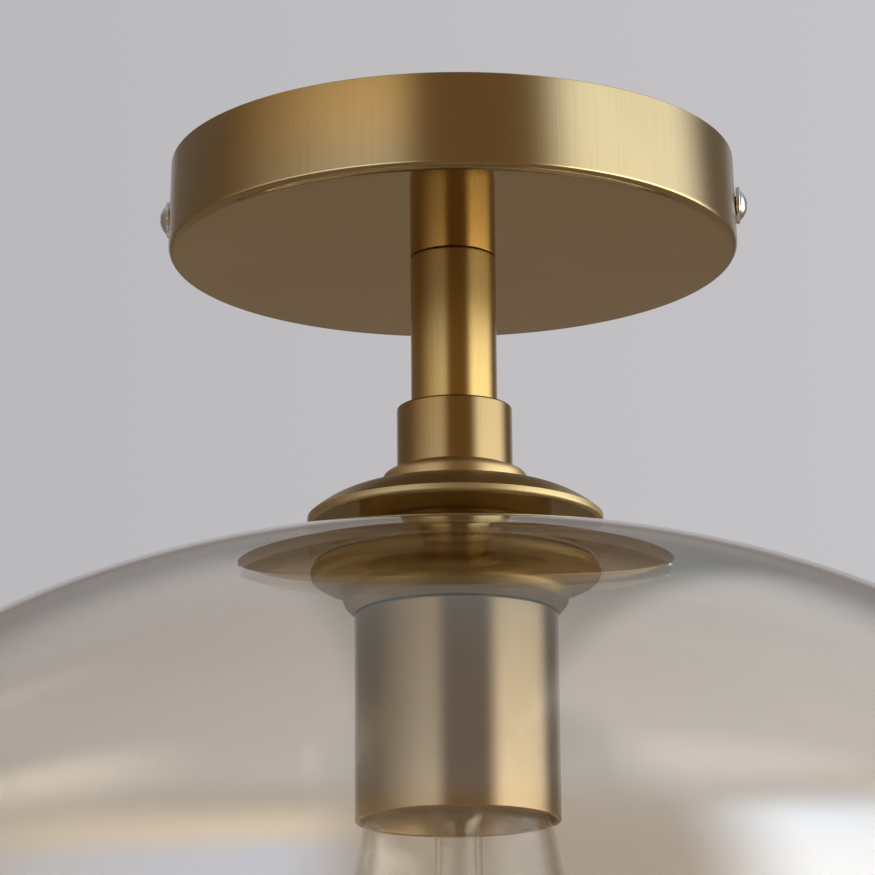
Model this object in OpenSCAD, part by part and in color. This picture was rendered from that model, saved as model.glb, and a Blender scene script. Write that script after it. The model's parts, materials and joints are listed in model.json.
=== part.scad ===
// Glass ceiling light: brass canopy and stem, a clamped oblate glass shade, a screw lamp holder
// and a clear pear-shaped bulb.
// Millimetres, +Z up, origin on the ceiling plane at the centre of the canopy.

/* [Canopy] */
// Diameter of the canopy at its lower edge
canopy_d = 120; // [110:1:140]
// Diameter of the canopy at the ceiling
canopy_top_d = 119; // [108:1:120]
// Height of the canopy below the ceiling
canopy_h = 20; // [19:0.5:30]
// Thickness of the canopy's sheet
canopy_wall = 1.0; // [0.8:0.1:1.4]
// Radius of the canopy's lower edge
canopy_edge_r = 1.8; // [1:0.2:4]
// Depth of the side screws below the ceiling
side_screw_depth = 9.8; // [8:0.2:12]

/* [Ceiling bracket] */
// Width of the bracket's strap
strap_w = 18; // [14:1:18]
// Thickness of the bracket's strap
strap_t = 1.5; // [1:0.1:2]
// Length of the bracket's ears below the ceiling
ear_h = 16; // [14:0.5:17]
// Distance between the two ceiling screw slots
slot_pitch = 80; // [76:1:84]
// Width of a ceiling screw slot
slot_w = 4.5; // [4:0.5:5.5]
// Length of a ceiling screw slot, end to end
slot_len = 14; // [10:1:16]
// Diameter of the hole for the supply cable
cable_hole_d = 20; // [14:1:22]
// Distance of the earth screw from the centre
earth_screw_x = 26; // [24:0.5:28]

/* [Terminal block] */
// Distance between the poles of the terminal block
pole_pitch = 6.5; // [6:0.1:7]
// Width of the terminal block along the wires
block_w = 15; // [13:0.5:17]
// Height of the terminal block
block_h = 12; // [11:0.5:13]
// Distance of the terminal block's middle from the centre
block_x = 22; // [21:0.5:24]

/* [Fasteners] */
// Diameter of the side and earth screws
screw_d = 4; // [3:0.5:4]
// Thread pitch of the side screws
screw_pitch = 0.7; // [0.5:0.1:0.8]
// Diameter of the side screws' heads
screw_head_d = 6.4; // [6:0.2:7]
// Diameter of the side screws' washers
screw_washer_d = 7.8; // [7.2:0.2:9]
// Length of a side screw beyond its nut
screw_past_nut = 1.4; // [0.6:0.1:3]
// Outer diameter of the long threaded tube
tube_d = 10; // [9:0.5:11]
// Bore of the long threaded tube
tube_bore = 7.5; // [7:0.25:8]

/* [Stem] */
// Diameter of the stem
stem_d = 18; // [16:0.5:22]
// Wall of the stem
stem_wall = 1.5; // [1:0.1:2]
// Length of the stem below the canopy
stem_h = 32.8; // [20:0.2:120]
// Diameter of the collar
collar_d = 24.1; // [23:0.1:28]
// Height of the collar
collar_h = 13.3; // [8:0.1:20]
// Diameter of the flange under the collar
flange_d = 30.2; // [26:0.2:32]
// Height of the flange under the collar
flange_h = 4.4; // [3:0.2:6]

/* [Shade clamp] */
// Diameter of the domed cap over the glass
cap_d = 61.4; // [56:0.5:70]
// Fall of the domed cap from its crown to its widest point
cap_drop = 5.8; // [5:0.1:8]
// Depth of the cap's rolled lip below its widest point
cap_lip = 1.6; // [1.2:0.1:2.4]
// Thickness of the cap's and the bell's sheet
clamp_sheet = 1.2; // [1:0.1:1.5]
// Diameter of the neck between the cap and the glass
neck_d = 40; // [36:0.5:44]
// Height of the neck
neck_h = 9.3; // [8:0.1:14]
// Thickness of the upper gasket at its inner edge
upper_gasket_t = 0.9; // [0.6:0.1:1.5]
// Thickness of the lower gasket at its outer edge
lower_gasket_t = 0.4; // [0.3:0.1:1]
// Diameter of the bell under the glass
bell_d = 60.2; // [56:0.2:66]
// Height of the bell
bell_h = 10.6; // [10:0.1:14]
// Diameter of the bell's hub
hub_d = 46.8; // [45:0.2:48]

/* [Glass shade] */
// Greatest diameter of the shade
shade_d = 300; // [240:5:360]
// Half height of the full spheroid that the shade is cut from
shade_half_h = 88; // [80:1:100]
// Depth of the shade's mouth below its widest point
mouth_drop = 76; // [70:1:79]
// Thickness of the glass
shade_t = 2; // [1.6:0.1:3]
// Diameter of the shade's upper hole
shade_hole_d = 24; // [20:0.5:28]

/* [Lamp holder] */
// Diameter of the cup round the lamp holder
cup_d = 42; // [41:0.5:44]
// Height of the cup
cup_h = 43; // [42:0.5:50]
// Thickness of the cup's sheet
cup_wall = 1.0; // [0.8:0.1:1.2]
// Clearance of the lamp holder's ceramic body in the cup
holder_gap = 0.4; // [0.3:0.1:1.2]
// Height of the ceramic below the holder's screw shell
holder_cover = 3.2; // [2.6:0.1:4]
// Depth of the bulb's contact below the lamp holder's top face
contact_depth = 7.1; // [7:0.1:8]

/* [Bulb] */
// Greatest diameter of the bulb
bulb_d = 64; // [58:1:70]
// Length of the bulb
bulb_len = 135.5; // [128:0.5:137]
// Clearance of the bulb's shoulder in the cup
shoulder_gap = 0.5; // [0.4:0.1:3]
// Mean diameter of the bulb cap's thread
cap_thread_d = 25.1; // [24.8:0.1:25.4]
// Depth of the bulb cap's thread, crest to root
cap_thread_depth = 1.0; // [0.8:0.1:1.2]
// Pitch of the bulb cap's thread
cap_pitch = 3.629; // [3.5:0.01:3.7]
// Length of the bulb cap's thread
cap_thread_len = 17; // [15:0.5:18]
// Thickness of the bulb's glass
bulb_glass_t = 0.8; // [0.6:0.1:1]
// Fall from the bulb's cap to the top of the filament's cage
cage_drop = 40; // [36:1:44]
// Rise from the bulb's lowest point to the bottom of the filament's cage
cage_rise = 27; // [24:1:32]

/* [Wires] */
// Diameter of the insulated wires
wire_d = 1.8; // [1.4:0.1:2]
// Diameter of the filament
filament_d = 0.5; // [0.3:0.1:0.6]

/* [Hidden] */
$fn = 96;

brass = "#a8813a";
steel = "#b9bcc0";
white = "#ecebe6";
rubber = "#d8d4cc";
smoke_glass = [0.78, 0.72, 0.64, 0.4];
clear_glass = [0.9, 0.92, 0.92, 0.4];

// Radial clearance of parts that slide over each other
slip = 0.05;
// Clearance of parts that move, and of cut-outs round them
play = 0.3;

// Radii of the canopy and of what hangs from it
canopy_r = canopy_d / 2;
canopy_top_r = canopy_top_d / 2;
tube_r = tube_d / 2;
tube_hole_r = tube_r + slip;
screw_r = screw_d / 2;
collar_r = collar_d / 2;
flange_r = flange_d / 2;
cap_r = cap_d / 2;
neck_r = neck_d / 2;
bell_r = bell_d / 2;
cup_r = cup_d / 2;
shade_r = shade_d / 2;
hole_r = shade_hole_d / 2;
wire_r = wire_d / 2;

// Heights of the stack, from the ceiling down
canopy_bottom = -canopy_h;
canopy_floor = canopy_bottom + canopy_wall;
stem_bottom = canopy_bottom - stem_h;
collar_bottom = stem_bottom - collar_h;
cap_top = collar_bottom - flange_h;
cap_under = cap_top - clamp_sheet;

// The cap is flat to this radius and falls in one arc from there
cap_flat_r = flange_r + 0.2;
cap_lip_r = cap_lip / 2;
cap_arc_run = cap_r - cap_flat_r;
cap_arc_r = (cap_arc_run * cap_arc_run + cap_drop * cap_drop) / (2 * cap_drop);
cap_arc_z = cap_top - cap_arc_r;
cap_wide_z = cap_top - cap_drop;
cap_inner_arc_r = cap_arc_r - clamp_sheet;
neck_top = cap_arc_z + sqrt(pow(cap_inner_arc_r, 2) - pow(neck_r - cap_flat_r, 2));
neck_bottom = neck_top - neck_h;
neck_wall = 1.5;
gasket_in_r = neck_r - 5;
gasket_out_r = neck_r + 0.5;

// The shade's outer and inner surfaces are spheroids about one middle
shade_in_r = shade_r - shade_t;
shade_in_half_h = shade_half_h - shade_t;
function spheroid_h(r, a, c) = c * sqrt(1 - pow(r / a, 2));
shade_mid = neck_bottom - upper_gasket_t - spheroid_h(gasket_in_r, shade_r, shade_half_h);
shade_bottom = shade_mid - mouth_drop;
function shade_top_z(r) = shade_mid + spheroid_h(r, shade_r, shade_half_h);
function shade_under_z(r) = shade_mid + spheroid_h(r, shade_in_r, shade_in_half_h);

// The bell presses on the glass from inside, near its own rim
bell_bead_r = 2;
bell_seat_r = bell_r - 1;
bell_top = shade_under_z(bell_seat_r) - lower_gasket_t;
bell_bottom = bell_top - bell_h;
hub_r = hub_d / 2;
cup_top = bell_bottom;
cup_plate_t = 1.4;
cup_under = cup_top - cup_plate_t;
cup_bottom = cup_top - cup_h;
cup_in_r = cup_r - cup_wall;

// The lamp holder hangs on the threaded tube under the cup's top
saddle_t = 1.2;
saddle_w = 12;
hub_boss_r = 8;
hub_boss_t = 0.95;
holder_top = cup_under - saddle_t;
holder_r = cup_in_r - holder_gap;
tube_top = canopy_floor + 8;
tube_bottom = holder_top - hub_boss_t + 0.1;
groove_top = holder_top - hub_boss_t;
groove_h = wire_d + 0.8;
groove_mid = groove_top - groove_h / 2;
groove_floor = groove_top - groove_h;
terminal_x = 13.6;
terminal_l = 5.2;
terminal_w = 5.6;
terminal_top = holder_top - 0.2;
terminal_floor = groove_floor - 0.5;
chamber_top = terminal_floor - 0.5;
ledge_top = chamber_top - 1.05;
ledge_bottom = chamber_top - 3.6;
chamber_r = 10.5;
leaf_t = 0.4;
leaf_w = 6;
leaf_root_x = 15;
contact_z = holder_top - contact_depth;
plate_screw_y = 14;
plate_screw_r = 1.5;

// Screw shell of the holder and screw cap of the bulb share one thread
cap_mean_r = cap_thread_d / 2;
thread_amp = cap_thread_depth / 2;
thread_gap = 0.3;
shell_t = 0.35;
shell_mean_r = cap_mean_r + thread_gap;
shell_bore_r = shell_mean_r + thread_amp + shell_t + slip;
thread_sides = 30;
thread_rows = 5;

// Heights along the bulb, from its contact down
cap_start = contact_z - 5.2;
thread_start = cap_start - 0.6;
thread_end = thread_start - cap_thread_len;
cap_end = thread_end - 3.2;
bulb_bottom = contact_z - bulb_len;
bulb_r = bulb_d / 2;
shoulder_r = cup_in_r - shoulder_gap;
stem_glass_r = 5;
cage_top = cap_end - cage_drop;
cage_bottom = bulb_bottom + cage_rise;

// The holder's shell ends a little above the end of the cap's thread
shell_bottom = thread_end + 1.1;
holder_bottom = shell_bottom - holder_cover;
cage_top_r = 8;
cage_bottom_r = 14;
cage_strands = 12;

// Outer radius of the canopy's wall at a depth below the ceiling
function canopy_wall_r(depth) =
    canopy_top_r + (canopy_r - canopy_top_r) * min(1, depth / (canopy_h - canopy_edge_r));

// Bracket places
ear_wall_r = min(canopy_top_r, canopy_wall_r(ear_h)) - canopy_wall;
ear_out_x = sqrt(pow(ear_wall_r, 2) - pow(strap_w / 2, 2)) - play;
ear_in_x = ear_out_x - strap_t;
nut_t = 3.2;
nut_af = 7;
bend_r = 2;
screw_wall_x = max(
    canopy_wall_r(side_screw_depth - screw_washer_d / 2),
    canopy_wall_r(side_screw_depth + screw_washer_d / 2)
);
washer_t = 0.8;
head_h = 1.5;
head_seat_x = screw_wall_x + slip + washer_t;
wire_z = -strap_t - block_h * 0.58;

function unit(v) = v / norm(v);

function arc(centre, r, from, to, steps) =
    [for (i = [0:steps]) let (a = from + (to - from) * i / steps)
        centre + r * [cos(a), sin(a)]];

// A smooth line through hand-chosen points, straight where its ends agree
function heading(p, i) =
    unit(p[min(i + 1, len(p) - 1)] - p[max(i - 1, 0)]);
function blend_point(a, b, ta, tb, s) =
    let (l = norm(b - a), s2 = s * s, s3 = s2 * s)
    (2 * s3 - 3 * s2 + 1) * a + (s3 - 2 * s2 + s) * l * ta
    + (3 * s2 - 2 * s3) * b + (s3 - s2) * l * tb;
function smooth_path(p, steps) = concat(
    [for (i = [0:len(p) - 2])
        let (ta = heading(p, i), tb = heading(p, i + 1))
        let (n = norm(ta - tb) < 0.01 ? 1 : steps)
        for (k = [0:n - 1]) blend_point(p[i], p[i + 1], ta, tb, k / n)],
    [p[len(p) - 1]]);

// The same outline moved sideways by t, for the inside of a blown wall
function inset(p, t) =
    [for (i = [0:len(p) - 1]) let (h = heading(p, i)) p[i] + t * [-h[1], h[0]]];

// Normals carried along a path without twist
function carried(t, i, n) =
    i == len(t) ? [] :
    let (m = unit(n - (n * t[i]) * t[i])) concat([m], carried(t, i + 1, m));

module tube_along(path, d, sides = 8) {
    t = [for (i = [0:len(path) - 1]) heading(path, i)];
    start = abs(t[0][2]) > 0.9 ? [1, 0, 0] : [0, 0, 1];
    n = carried(t, 0, start);
    rings = [for (i = [0:len(path) - 1]) for (k = [0:sides - 1])
        let (a = 360 * k / sides)
        path[i] + d / 2 * (cos(a) * n[i] + sin(a) * cross(t[i], n[i]))];
    last = (len(path) - 1) * sides;
    walls = [for (i = [0:len(path) - 2]) for (k = [0:sides - 1])
        let (a = i * sides + k, b = i * sides + (k + 1) % sides)
        each [[a, a + sides, b], [b, a + sides, b + sides]]];
    caps = [[for (k = [0:sides - 1]) k], [for (k = [sides - 1:-1:0]) last + k]];
    polyhedron(rings, concat(walls, caps));
}

// A turned wall whose rows [radius, z, wave] close on themselves; the wave is a screw thread
module threaded_wall(rows, sides, pitch) {
    n = len(rows);
    points = [for (row = rows) for (k = [0:sides - 1])
        let (a = 360 * k / sides, r = row[0] + row[2] * cos(360 * row[1] / pitch - a))
        [r * cos(a), r * sin(a), row[1]]];
    faces = [for (i = [0:n - 1]) for (k = [0:sides - 1])
        let (j = (i + 1) % n, m = (k + 1) % sides)
        each [[i * sides + k, i * sides + m, j * sides + k],
              [i * sides + m, j * sides + m, j * sides + k]]];
    polyhedron(points, faces);
}

// Rows of a thread from one height to another; the first and the last are plain, at radii r1 and r2
function thread_run(r, amp, from, to, pitch, r1, r2) =
    let (n = ceil(abs(to - from) / pitch * thread_rows))
    [for (i = [0:n]) let (end = i == 0 || i == n)
        [i == 0 ? r1 : i == n ? r2 : r, from + (to - from) * i / n, end ? 0 : amp]];

module turned(points) {
    rotate_extrude()
        polygon(points);
}

module ring(r_out, r_in, top, bottom) {
    rotate_extrude()
        translate([r_in, bottom])
            square([r_out - r_in, top - bottom]);
}

// A ring with its two outer edges broken
module soft_ring(r_out, r_in, top, bottom, edge) {
    turned([
        [r_in, bottom], [r_out - edge, bottom], [r_out, bottom + edge],
        [r_out, top - edge], [r_out - edge, top], [r_in, top]
    ]);
}

module hex_nut(af, bore_r, top, bottom) {
    difference() {
        translate([0, 0, bottom])
            cylinder(r = af / sqrt(3), h = top - bottom, $fn = 6);
        translate([0, 0, bottom - 1])
            cylinder(r = bore_r, h = top - bottom + 2);
    }
}

module slot(x, w, length, top, bottom) {
    translate([x, 0, bottom]) {
        translate([-(length - w) / 2, -w / 2, 0])
            cube([length - w, w, top - bottom]);
        for (s = [-1, 1])
            translate([s * (length - w) / 2, 0, 0])
                cylinder(d = w, h = top - bottom);
    }
}

// Turns a part that is drawn along +Z so that it points along +X from (x, 0, z)
module out_along_x(x, z) {
    translate([x, 0, z])
        rotate([0, 90, 0])
            children();
}

// Ceiling bracket and wiring
strap_outline = concat(
    arc([ear_out_x - bend_r, -bend_r], bend_r, 90, 0, 4),
    [[ear_out_x, -ear_h], [ear_in_x, -ear_h]],
    arc([ear_in_x - bend_r / 2, -strap_t - bend_r / 2], bend_r / 2, 0, 90, 4),
    arc([-ear_in_x + bend_r / 2, -strap_t - bend_r / 2], bend_r / 2, 90, 180, 4),
    [[-ear_in_x, -ear_h], [-ear_out_x, -ear_h]],
    arc([-ear_out_x + bend_r, -bend_r], bend_r, 180, 90, 4)
);
peg_r = 1.4;
peg_y = strap_w / 2 - 3;

module block_pegs(r, length) {
    for (s = [-1, 1])
        translate([block_x, s * peg_y, -strap_t - 0.5])
            cylinder(r = r, h = length + 0.5);
}

module ceiling_bracket() {
    color(steel)
    difference() {
        union() {
            translate([0, strap_w / 2, 0])
                rotate([90, 0, 0])
                    linear_extrude(strap_w)
                        polygon(strap_outline);
            ring(cable_hole_d / 2 + 7, 0, 0, -strap_t);
        }
        translate([0, 0, -strap_t - 1])
            cylinder(d = cable_hole_d, h = strap_t + 2);
        for (s = [-1, 1]) {
            slot(s * slot_pitch / 2, slot_w, slot_len, 1, -strap_t - 1);
            out_along_x(s * (ear_in_x + strap_t / 2) - 2, -side_screw_depth)
                cylinder(r = screw_r + 2 * slip, h = 4);
        }
        translate([-earth_screw_x, 0, -strap_t - 1])
            cylinder(r = screw_r + slip, h = strap_t + 2);
        block_pegs(peg_r + slip, strap_t + 1);
    }
}

module ear_nuts() {
    color(steel)
    for (s = [0, 1])
        mirror([s, 0, 0])
            out_along_x(ear_in_x, -side_screw_depth)
                rotate([0, 0, 30])
                    hex_nut(nut_af, screw_r + slip, 0, -nut_t);
}

earth_tag_t = 0.6;

module earth_screw() {
    color(steel)
    translate([-earth_screw_x, 0, 0])
        difference() {
            union() {
                translate([0, 0, -strap_t - earth_tag_t - 1])
                    cylinder(r = screw_r, h = strap_t + earth_tag_t + 1);
                turned([
                    [0, -strap_t - earth_tag_t], [3.5, -strap_t - earth_tag_t],
                    [3.5, -strap_t - earth_tag_t - 1.6], [2.7, -strap_t - earth_tag_t - 2.4],
                    [0, -strap_t - earth_tag_t - 2.4]
                ]);
            }
            translate([-4, -0.5, -strap_t - earth_tag_t - 3])
                cube([8, 1, 1.6]);
        }
}

module earth_tag() {
    color(brass)
    translate([-earth_screw_x, 0, -strap_t - earth_tag_t]) {
        difference() {
            union() {
                cylinder(r = 4, h = earth_tag_t);
                translate([-1.9, 0, 0])
                    cube([3.8, 6.5, earth_tag_t]);
            }
            translate([0, 0, -1])
                cylinder(r = screw_r + slip, h = 3);
        }
        translate([0, 9.5, -wire_r - 0.5 + earth_tag_t])
            rotate([90, 0, 0])
                difference() {
                    cylinder(r = wire_r + 0.5, h = 4);
                    translate([0, 0, -1])
                        cylinder(r = wire_r + slip, h = 4.5);
                }
    }
}

barrel_r = 1.95;
barrel_l = block_w - 4;
pole_screw_y = barrel_l / 2 - 2.2;
pole_xs = [for (i = [-1:1]) block_x + i * pole_pitch];
block_end = 3.4;

module terminal_block() {
    color(white)
    difference() {
        union() {
            translate([pole_xs[0] - block_end, -block_w / 2, -strap_t - 4.5])
                cube([2 * pole_pitch + 2 * block_end, block_w, 4.5]);
            for (x = pole_xs)
                translate([x - 2.7, -block_w / 2, -strap_t - block_h])
                    cube([5.4, block_w, block_h - 4]);
            block_pegs(peg_r, strap_t);
        }
        for (x = pole_xs) {
            translate([x, barrel_l / 2 + slip, wire_z])
                rotate([90, 0, 0])
                    cylinder(r = barrel_r + slip, h = barrel_l + 2 * slip);
            translate([x, block_w / 2 + 1, wire_z])
                rotate([90, 0, 0])
                    cylinder(r = wire_r + play, h = block_w + 2);
            for (s = [-1, 1])
                translate([x, s * pole_screw_y, -strap_t - block_h - 1])
                    cylinder(r = 1.75, h = wire_z + strap_t + block_h + 1);
        }
    }
}

module terminal_barrels() {
    color(brass)
    for (x = pole_xs)
        difference() {
            translate([x, barrel_l / 2, wire_z])
                rotate([90, 0, 0])
                    cylinder(r = barrel_r, h = barrel_l);
            translate([x, barrel_l / 2 + 1, wire_z])
                rotate([90, 0, 0])
                    cylinder(r = wire_r + play, h = barrel_l + 2);
            for (s = [-1, 1])
                translate([x, s * pole_screw_y, wire_z - 4])
                    cylinder(r = 1.25 + slip, h = 4);
        }
}

module terminal_screws() {
    color(steel)
    for (x = pole_xs, s = [-1, 1])
        translate([x, s * pole_screw_y, -strap_t - block_h + 0.4])
            difference() {
                union() {
                    cylinder(r = 1.25, h = wire_z - wire_r - slip + strap_t + block_h - 0.4);
                    cylinder(r = 1.6, h = 1.2);
                }
                translate([-2, -0.25, -0.2])
                    cube([4, 0.5, 0.7]);
            }
}

// Canopy and its screws
module canopy() {
    edge_r = canopy_edge_r;
    in_edge_r = max(edge_r - canopy_wall, 0.2);
    hole_from = min(canopy_r, canopy_top_r) - canopy_wall - 2;
    hole_to = max(canopy_r, canopy_top_r) + 1;
    color(brass)
    difference() {
        turned(concat(
            [[tube_hole_r, canopy_bottom]],
            arc([canopy_r - edge_r, canopy_bottom + edge_r], edge_r, -90, 0, 8),
            [[canopy_top_r, 0], [canopy_top_r - canopy_wall, 0]],
            arc([canopy_r - canopy_wall - in_edge_r, canopy_floor + in_edge_r], in_edge_r, 0, -90, 6),
            [[tube_hole_r, canopy_floor]]
        ));
        for (s = [0, 1])
            mirror([s, 0, 0])
                out_along_x(hole_from, -side_screw_depth)
                    cylinder(r = screw_r + 0.2, h = hole_to - hole_from);
    }
}

module side_washer(side) {
    color(steel)
    mirror([side < 0 ? 1 : 0, 0, 0])
        out_along_x(0, -side_screw_depth)
            soft_ring(screw_washer_d / 2, screw_r + slip, head_seat_x, head_seat_x - washer_t, 0.15);
}

module side_screw(side) {
    head_r = screw_head_d / 2;
    dome_r = (head_r * head_r + head_h * head_h) / (2 * head_h);
    seat = head_seat_x + slip;
    tip = ear_in_x - nut_t - screw_past_nut;
    color(steel)
    mirror([side < 0 ? 1 : 0, 0, 0])
        out_along_x(0, -side_screw_depth)
            difference() {
                union() {
                    translate([0, 0, tip])
                        cylinder(r = screw_r, h = seat + 0.2 - tip);
                    intersection() {
                        translate([0, 0, seat])
                            cylinder(r = head_r, h = head_h + 1);
                        translate([0, 0, seat + head_h - dome_r])
                            sphere(r = dome_r);
                    }
                }
                for (a = [0, 90])
                    rotate([0, 0, a])
                        translate([-0.4 * head_r, -0.35, seat + head_h - 0.9])
                            cube([0.8 * head_r, 0.7, 2]);
            }
}

nut_h = 4;
nut_wide = 14;
nut_washer_t = 1;

module canopy_washer() {
    color(steel)
    ring(10, tube_hole_r, canopy_floor + nut_washer_t, canopy_floor);
}

module canopy_nut() {
    color(steel)
    hex_nut(nut_wide, tube_hole_r, canopy_floor + nut_washer_t + nut_h, canopy_floor + nut_washer_t);
}

module threaded_tube() {
    color(steel)
    ring(tube_r, tube_bore / 2, tube_top, tube_bottom);
}

// Stem and collar
module stem_tube() {
    color(brass)
    soft_ring(stem_d / 2, stem_d / 2 - stem_wall, canopy_bottom, stem_bottom, 0.4);
}

bush_h = 5;

module stem_bushes() {
    color(brass)
    for (top = [canopy_bottom, stem_bottom + bush_h])
        ring(stem_d / 2 - stem_wall - slip, tube_hole_r, top, top - bush_h);
}

module collar() {
    color(brass)
    soft_ring(collar_r, tube_hole_r, stem_bottom, collar_bottom, 0.3);
}

module collar_flange() {
    bead = flange_h / 2;
    color(brass)
    turned(concat(
        [[tube_hole_r, cap_top]],
        arc([flange_r - bead, cap_top + bead], bead, -90, 90, 12),
        [[tube_hole_r, collar_bottom]]
    ));
}

// What clamps the shade
module shade_cap() {
    centre = [cap_flat_r, cap_arc_z];
    sweep_to = asin((cap_wide_z - cap_arc_z) / cap_arc_r);
    inner_to = asin((cap_wide_z - cap_arc_z) / cap_inner_arc_r);
    lip = [cap_r - cap_lip_r, cap_wide_z - cap_lip + cap_lip_r];
    color(brass)
    turned(concat(
        [[tube_hole_r, cap_top]],
        arc(centre, cap_arc_r, 90, sweep_to, 16),
        arc(lip, cap_lip_r, 0, -180, 8),
        arc(centre, cap_inner_arc_r, inner_to, 90, 14),
        [[tube_hole_r, cap_under]]
    ));
}

module neck_spacer() {
    color(brass)
    difference() {
        ring(neck_r, tube_hole_r, neck_top, neck_bottom);
        ring(neck_r - neck_wall, tube_hole_r - 1, neck_top - neck_wall, neck_bottom - 1);
    }
}

// Outline between two radii along the shade's outer or inner surface
function over_shade(from, to, steps) =
    [for (i = [0:steps]) let (r = from + (to - from) * i / steps) [r, shade_top_z(r)]];
function under_shade(from, to, steps) =
    [for (i = [0:steps]) let (r = from + (to - from) * i / steps) [r, shade_under_z(r)]];

module upper_gasket() {
    color(rubber)
    translate([0, 0, slip])
        turned(concat(
            over_shade(gasket_in_r, gasket_out_r, 6),
            [[gasket_out_r, neck_bottom - slip], [gasket_in_r, neck_bottom - slip]]
        ));
}

module lower_gasket() {
    in_r = bell_r - 2 * bell_bead_r;
    color(rubber)
    translate([0, 0, -slip])
        turned(concat(
            under_shade(bell_seat_r, in_r, 6),
            [[in_r, bell_top + slip], [bell_seat_r, bell_top + slip]]
        ));
}

module glass_grommet() {
    flange_top = shade_top_z(hole_r) + 1.3;
    color(rubber)
    union() {
        ring(hole_r - play / 2, tube_hole_r, flange_top - 1.1, shade_under_z(hole_r));
        ring(hole_r + 2, tube_hole_r, flange_top, flange_top - 1.1);
    }
}

shade_steps = 60;
hole_angle = acos(hole_r / shade_r);
mouth_angle = -asin(mouth_drop / shade_half_h);

// Points of a spheroid's outline, close together where it bends hard
function shade_outline(a, c, from, to) =
    [for (i = [0:shade_steps]) let (s = from + (to - from) * i / shade_steps)
        [a * cos(s), shade_mid + c * sin(s)]];

module glass_shade() {
    inner_hole_angle = acos(hole_r / shade_in_r);
    outer = shade_outline(shade_r, shade_half_h, hole_angle, mouth_angle);
    inner = shade_outline(shade_in_r, shade_in_half_h, mouth_angle, inner_hole_angle);
    rim = (outer[shade_steps] + inner[0]) / 2;
    rim_r = norm(outer[shade_steps] - inner[0]) / 2;
    across = outer[shade_steps] - rim;
    start = atan2(across[1], across[0]);
    color(smoke_glass)
    turned(concat(outer, arc(rim, rim_r, start - 20, start - 160, 6), inner));
}

// The bell outside, from its rounded rim down to the cup
hub_h = bell_h - 2 * bell_bead_r - 0.6;
bell_side = concat(
    arc([bell_r - bell_bead_r, bell_top - bell_bead_r], bell_bead_r, 90, -90, 12),
    [[hub_r + 0.8, bell_bottom + hub_h], [hub_r, bell_bottom + hub_h - 0.5],
     [hub_r - 1.4, bell_bottom + 2], [cup_r - 0.2, bell_bottom]]
);

module bell_flange() {
    color(brass)
    turned(concat(
        bell_side,
        [[tube_hole_r, bell_bottom], [tube_hole_r, bell_bottom + clamp_sheet],
         [cup_r - 1.8, bell_bottom + clamp_sheet], [hub_r - 2.8, bell_bottom + 3],
         [hub_r - 1.6, bell_bottom + hub_h + 1.2], [bell_r - 2 * bell_bead_r, bell_top - bell_bead_r - 0.8],
         [bell_r - 2 * bell_bead_r, bell_top]]
    ));
}

module socket_cup() {
    color(brass)
    turned([
        [tube_hole_r, cup_top], [cup_r - 0.8, cup_top], [cup_r, cup_top - 0.8],
        [cup_r, cup_bottom + 0.3], [cup_r - 0.3, cup_bottom], [cup_in_r, cup_bottom],
        [cup_in_r, cup_under], [tube_hole_r, cup_under]
    ]);
}

// Lamp holder
module plate_screw_places() {
    for (s = [-1, 1])
        translate([0, s * plate_screw_y, 0])
            children();
}

module holder_saddle() {
    color(steel)
    difference() {
        union() {
            translate([-saddle_w / 2, -plate_screw_y, holder_top])
                cube([saddle_w, 2 * plate_screw_y, saddle_t]);
            plate_screw_places()
                translate([0, 0, holder_top])
                    cylinder(r = 4, h = saddle_t);
            translate([0, 0, holder_top - hub_boss_t])
                cylinder(r = hub_boss_r, h = hub_boss_t + saddle_t);
        }
        translate([0, 0, holder_top - hub_boss_t - 1])
            cylinder(r = tube_hole_r, h = hub_boss_t + saddle_t + 2);
        plate_screw_places()
            translate([0, 0, holder_top]) {
                translate([0, 0, -1])
                    cylinder(r = plate_screw_r + slip, h = saddle_t + 2);
                cylinder(r1 = plate_screw_r + slip, r2 = plate_screw_r + saddle_t + slip, h = saddle_t);
            }
    }
}

module holder_screws() {
    color(steel)
    plate_screw_places()
        difference() {
            turned([
                [0, holder_top + saddle_t], [plate_screw_r + saddle_t, holder_top + saddle_t],
                [plate_screw_r, holder_top], [plate_screw_r, holder_top - 5],
                [plate_screw_r - 0.5, holder_top - 5.5], [0, holder_top - 5.5]
            ]);
            translate([-3, -0.3, holder_top + saddle_t - 0.5])
                cube([6, 0.6, 1]);
        }
}

module terminal_pocket(side, grow) {
    translate([side * terminal_x - terminal_l / 2 - grow, -terminal_w / 2 - grow, terminal_floor])
        cube([terminal_l + 2 * grow, terminal_w + 2 * grow, holder_top - terminal_floor + 1]);
}

foot_x = terminal_x + 0.6;
foot_r = 1;
foot_gap = 0.2;
strip_w = 4;
strip_t = 0.5;
strip_x = shell_mean_r - strip_t;

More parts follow.
